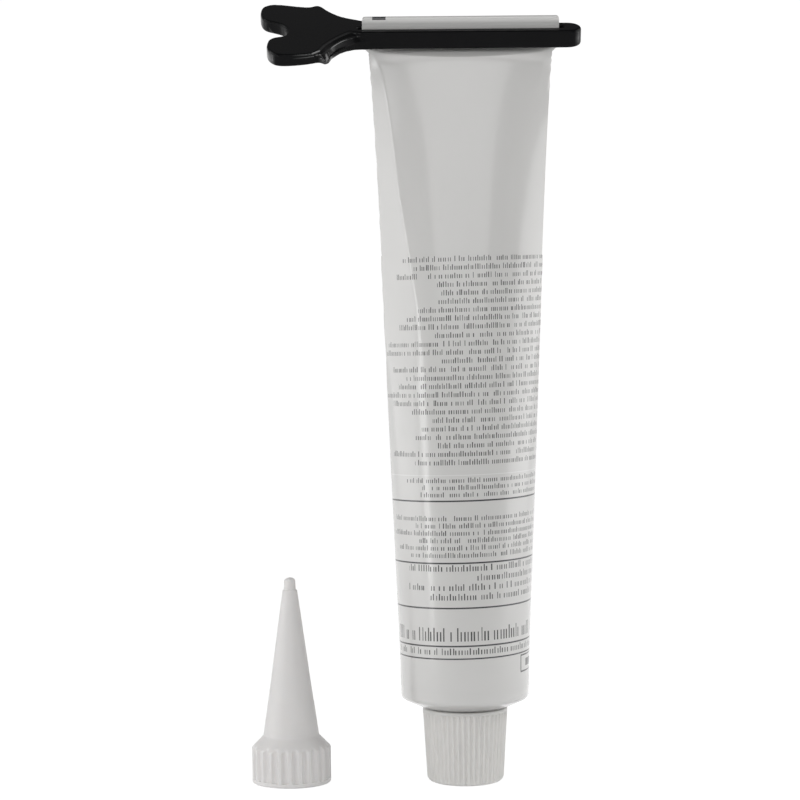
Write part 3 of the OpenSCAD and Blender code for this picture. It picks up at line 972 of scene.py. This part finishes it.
class SEALANT_OT_cap(bpy.types.Operator):
    """Turn the ribbed screw cap and the sealing disc inside it"""

    bl_idname = "sealant.cap"
    bl_label = "Cap"

    def execute(self, context):
        chosen = context.scene.sealant
        plastic = plastic_material("cap_plastic", chosen.cap, 0.42, 0.25)

        def wall_at(r, z, angle):
            if r < SOCKET_R + 0.6 * MM or z > CAP_H - CAP_BAND_H + 0.01 * MM:
                return r
            wall = mix(CAP_END_R, CAP_RIM_R, max(0, z - CAP_EDGE_R) / (CAP_H - CAP_EDGE_R))
            return grooved(r, angle, wall, chosen.cap_grooves, CAP_GROOVE_R, chosen.cap_groove_depth, 0.5)

        cap = turned("cap_body", self.profile(), chosen.cap_grooves * CAP_GROOVE_COLUMNS, 0.0, wall_at)
        finish_piece(cap, plastic, "screw_cap", "cap", CAP_SMOOTH)
        thread = thread_ridge("cap_thread", SOCKET_R, -THREAD_H, THREAD_LOW_Z, CAP_TURNS, 0.0, 0.5)
        finish_piece(thread, plastic, "screw_cap")
        edge = 0.15 * MM
        top = LEDGE_Z + LINER_T
        disc_profile = [(0, LEDGE_Z), (LINER_R - edge, LEDGE_Z), (LINER_R, LEDGE_Z + edge),
                        (LINER_R, top - edge), (LINER_R - edge, top), (0, top)]
        disc = turned("seal_disc", filled_in(disc_profile, 1.5 * MM), LINER_SIDES)
        finish_piece(disc, foam_material(chosen.foam), "seal", "cap_liner")
        return {"FINISHED"}

    def profile(self):
        rim_edge = 0.4 * MM
        mouth_edge = 0.5 * MM
        outside = [(0, 0), *arc(CAP_END_R - CAP_EDGE_R, CAP_EDGE_R, CAP_EDGE_R, -90, 0, 10),
                   (CAP_RIM_R, CAP_H - CAP_BAND_H), (CAP_RIM_R, CAP_H - CAP_BAND_H + 0.05 * MM),
                   *arc(CAP_RIM_R - rim_edge, CAP_H - rim_edge, rim_edge, 0, 90, 4)]
        inside = [(SOCKET_R + mouth_edge, CAP_H), (SOCKET_R, CAP_H - mouth_edge), (SOCKET_R, LEDGE_Z),
                  (SOCKET_R - LEDGE_W, LEDGE_Z), (SOCKET_R - LEDGE_W, CAP_END_WALL), (0, CAP_END_WALL)]
        return filled_in(outside, 0.6 * MM) + filled_in(inside, 1.5 * MM)


class SEALANT_OT_key(bpy.types.Operator):
    """Mould the black winding key with its slot, its two tips and its finger hollows"""

    bl_idname = "sealant.key"
    bl_label = "Winding key"

    def execute(self, context):
        chosen = context.scene.sealant
        reach = SLOT_HALF - SLOT_W / 2
        rail_r = (2 * BAR_HALF - SLOT_W) / 4
        rails = [(-reach, side * (BAR_HALF - rail_r), rail_r) for side in (-1, 1)]
        tail = (SLOT_HALF + BAR_TAIL - BAR_HALF, 0, BAR_HALF)
        nose = (-SLOT_HALF - BAR_NOSE + NOSE_R, 0, NOSE_R)
        bar = [self.plate([end, *rails]) for end in (tail, nose)]
        slot = self.slot(reach)
        grip = self.grip()
        modifier(grip, "REMESH", mode="VOXEL", voxel_size=chosen.key_voxel, adaptivity=0)
        parts = [*bar, grip]
        for part in parts:
            modifier(part, "BOOLEAN", operation="DIFFERENCE", object=slot, solver="EXACT")
        bpy.data.objects.remove(slot, do_unlink=True)
        key = join(parts, "winding_key")
        modifier(key, "REMESH", mode="VOXEL", voxel_size=chosen.key_voxel, adaptivity=0)
        modifier(key, "SMOOTH", factor=0.5, iterations=5)
        key.data.transform(Matrix.Translation((0, 0, KEY_UP)))
        lean_on_flap(key)
        finish_piece(key, black_plastic_material(chosen.key), "winding_key", "key", KEY_SMOOTH)
        return {"FINISHED"}

    def plate(self, posts):
        """A plate of the bar's height through round posts of (x, y, radius), with its edges rounded."""
        rings = []
        steps = 4
        for x, y, r in posts:
            for step in range(steps + 1):
                turn = math.pi / 2 * step / steps
                wide = r - KEY_EDGE * (1 - math.cos(turn))
                high = BAR_H - 2 * KEY_EDGE * (1 - math.sin(turn))
                rings.append(post("key_post", (x, y, BAR_H / 2), wide, high, POST_SIDES))
        return hull(rings, "key_plate")

    def outline(self):
        """The grip's outline with its points closed up by a smooth curve: top edge, rim and foot."""
        rows = [row * (OUTLINE_VALUES // len(row)) for row in GRIP_OUTLINE]
        fine = []
        for i, row in enumerate(rows[:-1]):
            before, after, beyond = rows[max(0, i - 1)], rows[i + 1], rows[min(len(rows) - 1, i + 2)]
            for k in range(OUTLINE_STEPS):
                t = k / OUTLINE_STEPS
                fine.append([0.5 * (2 * b + (c - a) * t + (2 * a - 5 * b + 4 * c - d) * t * t
                                    + (3 * b - a - 3 * c + d) * t ** 3) * MM
                             for a, b, c, d in zip(before, row, after, beyond)])
        return fine + [[value * MM for value in rows[-1]]]

    def grip(self):
        """The grip, lofted from its underside up over the wall's foot and the rim to its top face."""
        fine = self.outline()
        count = len(fine)
        edge = KEY_EDGE
        # Each level: the pair of values in a row, the height, and how far the edge is rounded in
        levels = [(4, 0.0, 0.5 * edge), (4, 0.2 * edge, 0.15 * edge), (4, 0.6 * edge, 0.0),
                  (4, FOOT_Z, 0.0), (2, RIM_Z, 0.0),
                  (0, BAR_H - 0.6 * edge, 0.0), (0, BAR_H - 0.2 * edge, 0.15 * edge), (0, BAR_H, 0.5 * edge)]

        def place(u, v):
            pair, z, inward = levels[round(v * (len(levels) - 1))]
            i = round(u * count) % count
            here, last, following = fine[i], fine[i - 1], fine[(i + 1) % count]
            along = Vector((following[pair] - last[pair], following[pair + 1] - last[pair + 1])).normalized()
            spot = Vector((here[pair], here[pair + 1])) - Vector((-along.y, along.x)) * inward
            return Vector((spot.x, spot.y, z))

        grip = shaped_grid("key_grip", count, len(levels) - 1, place)
        close_ends(grip)
        # Cut into strips across, so that no face reaches outside the outline
        bpy.ops.object.mode_set(mode="EDIT")
        for step in range(UNDERSIDE_CUTS):
            at = UNDERSIDE_FROM - UNDERSIDE_RUN * step / CUTS_TO_RUN
            bpy.ops.mesh.select_all(action="SELECT")
            bpy.ops.mesh.bisect(plane_co=(at, 0, 0), plane_no=(1, 0, 0))
        bpy.ops.mesh.select_all(action="SELECT")
        bpy.ops.mesh.quads_convert_to_tris(ngon_method="CLIP")
        bpy.ops.object.mode_set(mode="OBJECT")
        # The underside rises from the bar's foot to the shoulders
        for vertex in grip.data.vertices:
            if vertex.co.z < 1.01 * edge:
                rise = max(0, min(1, (UNDERSIDE_FROM - vertex.co.x) / UNDERSIDE_RUN))
                vertex.co.z += (BAR_H - GRIP_T) * rise
        return grip

    def slot(self, reach):
        """The bar's slot, round at its ends."""
        ends = [post("slot_cutter", (x, 0, BAR_H / 2), SLOT_W / 2, 3 * BAR_H, SLOT_SIDES)
                for x in (-reach, reach)]
        return hull(ends, "slot_cutter")


class SEALANT_OT_nozzle(bpy.types.Operator):
    """Turn the tapered nozzle with its grooved grip"""

    bl_idname = "sealant.nozzle"
    bl_label = "Nozzle"

    def execute(self, context):
        chosen = context.scene.sealant
        plastic = plastic_material("nozzle_plastic", chosen.nozzle, 0.4, 0.35)

        def wall_at(r, z, angle):
            if z <= NOZZLE_RIM_H + 0.001 * MM or r < SOCKET_R + 0.4 * MM:
                return r
            return grooved(r, angle, NOZZLE_BASE_R, chosen.nozzle_grooves, NOZZLE_GROOVE_R,
                           chosen.nozzle_groove_depth, 0)

        columns = chosen.nozzle_grooves * NOZZLE_GROOVE_COLUMNS
        nozzle = turned("nozzle_body", self.profile(), columns, NOZZLE_X, wall_at)
        finish_piece(nozzle, plastic, "tube_body", "nozzle", NOZZLE_SMOOTH)
        thread = thread_ridge("nozzle_thread", SOCKET_R, -THREAD_H, NOZZLE_THREAD_Z, NOZZLE_TURNS,
                              NOZZLE_X, 0.25)
        finish_piece(thread, plastic, "tube_body")
        return {"FINISHED"}

    def profile(self):
        foot = 0.4 * MM
        cone_z = NOZZLE_BASE_H + NOZZLE_BASE_R - NOZZLE_CONE_R
        top_z = NOZZLE_H - NOZZLE_TIP_H
        lean = (NOZZLE_CONE_R - NOZZLE_TOP_R) / (top_z - cone_z)
        witness = NOZZLE_CONE_R - lean * (NOZZLE_WITNESS_Z - cone_z)
        grip = [(SOCKET_R + 0.3 * MM, 0), (NOZZLE_BASE_R - foot, 0),
                *arc(NOZZLE_BASE_R - foot, foot, foot, -90, 0, 4),
                (NOZZLE_BASE_R, NOZZLE_RIM_H), (NOZZLE_BASE_R, NOZZLE_RIM_H + 0.02 * MM),
                *arc(NOZZLE_BASE_R - foot, NOZZLE_BASE_H - 0.4 * foot, foot, 0, 45, 3)]
        cone = [(NOZZLE_CONE_R + 0.12 * MM, cone_z - 0.1 * MM),
                (NOZZLE_CONE_R - 0.02 * MM, cone_z + 0.25 * MM),
                (witness, NOZZLE_WITNESS_Z - 0.12 * MM), (witness - 0.07 * MM, NOZZLE_WITNESS_Z + 0.05 * MM)]
        tip = [(NOZZLE_TOP_R, top_z), (NOZZLE_TIP_R + 0.08 * MM, top_z + 0.12 * MM),
               (NOZZLE_TIP_R, top_z + 0.35 * MM), (NOZZLE_TIP_R - 0.12 * MM, NOZZLE_H - 0.7 * MM),
               (NOZZLE_TIP_R * 0.6, NOZZLE_H - 0.25 * MM), (0, NOZZLE_H)]
        passage_r = NOZZLE_CONE_R - NOZZLE_WALL
        inside = [(0, top_z - 1.2 * MM), (0.5 * MM, top_z - 1.2 * MM), (passage_r, cone_z),
                  (passage_r, NOZZLE_SOCKET_H), (SOCKET_R, NOZZLE_SOCKET_H), (SOCKET_R, 0.3 * MM),
                  (SOCKET_R + 0.3 * MM, 0)]
        return filled_in(grip + cone + tip, 0.7 * MM) + filled_in(inside, 2 * MM)


class SEALANT_OT_stage(bpy.types.Operator):
    """Set up the white sweep, the soft lights and the camera"""

    bl_idname = "sealant.stage"
    bl_label = "Stage"

    def execute(self, context):
        scene = context.scene
        self.camera(scene)
        self.sweep()
        self.world(scene)
        for name, (at, wide, high, power) in LAMPS.items():
            self.lamp(name, Vector(at), wide, high, power)
        scene.view_settings.view_transform = "Standard"
        return {"FINISHED"}

    def camera(self, scene):
        deselect()
        bpy.ops.object.camera_add(location=CAMERA_AT)
        camera = bpy.context.active_object
        camera.name = "photo_camera"
        ahead = Vector((0, math.cos(CAMERA_DOWN), -math.sin(CAMERA_DOWN)))
        right = ahead.cross(Vector((0, 0, 1))).normalized()
        up = right.cross(ahead)
        across = right * math.cos(CAMERA_ROLL) + up * math.sin(CAMERA_ROLL)
        upright = up * math.cos(CAMERA_ROLL) - right * math.sin(CAMERA_ROLL)
        camera.rotation_euler = Matrix((across, upright, -ahead)).transposed().to_euler()
        camera.data.sensor_width = SENSOR_MM
        camera.data.lens = FOCAL_PX * SENSOR_MM / PHOTO_PX
        camera.data.clip_start = 0.01
        camera.data.clip_end = 20
        scene.camera = camera

    def sweep(self):
        """A floor that curves up into a wall behind the object."""
        front, back, half = -1.6, 0.9, 2.2
        bend, top = 0.6, 0.7
        profile = [(front, 0), (back, 0), *arc(back, bend, bend, -90, 0, 16), (back + bend, top)]

        def place(u, v):
            y, z = profile[round(v * (len(profile) - 1))]
            return Vector((mix(-half, half, u), y, z))

        sweep = shaped_grid("studio_sweep", 2, len(profile) - 1, place)
        focus(sweep)
        bpy.ops.object.shade_smooth()
        sweep.data.materials.append(sweep_material())

    def world(self, scene):
        """A weak even light from all round, which the camera sees as plain white."""
        scene.world = bpy.data.worlds.new("studio")
        sheet = Sheet(scene.world, "ShaderNodeOutputWorld")
        seen = sheet.out("ShaderNodeLightPath", output="Is Camera Ray")
        faint, white = (sheet.out("ShaderNodeBackground", {"Color": (1, 1, 1, 1), "Strength": strength})
                        for strength in (WORLD_LIGHT, 1.0))
        sheet.close(sheet.out("ShaderNodeMixShader", {0: seen, 1: faint, 2: white}))

    def lamp(self, name, at, wide, high, power):
        deselect()
        bpy.ops.object.light_add(type="AREA", location=at)
        lamp = bpy.context.active_object
        lamp.name = name
        lamp.data.shape = "RECTANGLE"
        lamp.data.size = wide
        lamp.data.size_y = high
        lamp.data.energy = power
        lamp.rotation_euler = (LAMP_AIM - at).to_track_quat("-Z", "Y").to_euler()


BUILDERS = ("tube", "label", "cap", "key", "nozzle", "stage")


class SEALANT_PT_build(bpy.types.Panel):
    """The sidebar's list of what can be built"""

    bl_idname = "SEALANT_PT_build"
    bl_label = "Sealant tube"
    bl_space_type = "VIEW_3D"
    bl_region_type = "UI"
    bl_category = "Sealant tube"

    def draw(self, context):
        chosen = context.scene.sealant
        for prop in SealantSettings.__annotations__:
            self.layout.prop(chosen, prop)
        for step in BUILDERS:
            self.layout.operator("sealant." + step)


CLASSES = (SealantSettings, SEALANT_OT_tube, SEALANT_OT_label, SEALANT_OT_cap, SEALANT_OT_key,
           SEALANT_OT_nozzle, SEALANT_OT_stage, SEALANT_PT_build)


def register():
    for cls in CLASSES:
        bpy.utils.register_class(cls)
    bpy.types.Scene.sealant = PointerProperty(type=SealantSettings)


def unregister():
    del bpy.types.Scene.sealant
    for cls in reversed(CLASSES):
        bpy.utils.unregister_class(cls)


def main():
    register()
    for step in BUILDERS:
        getattr(bpy.ops.sealant, step)()
    deselect()


if __name__ == "__main__":
    main()
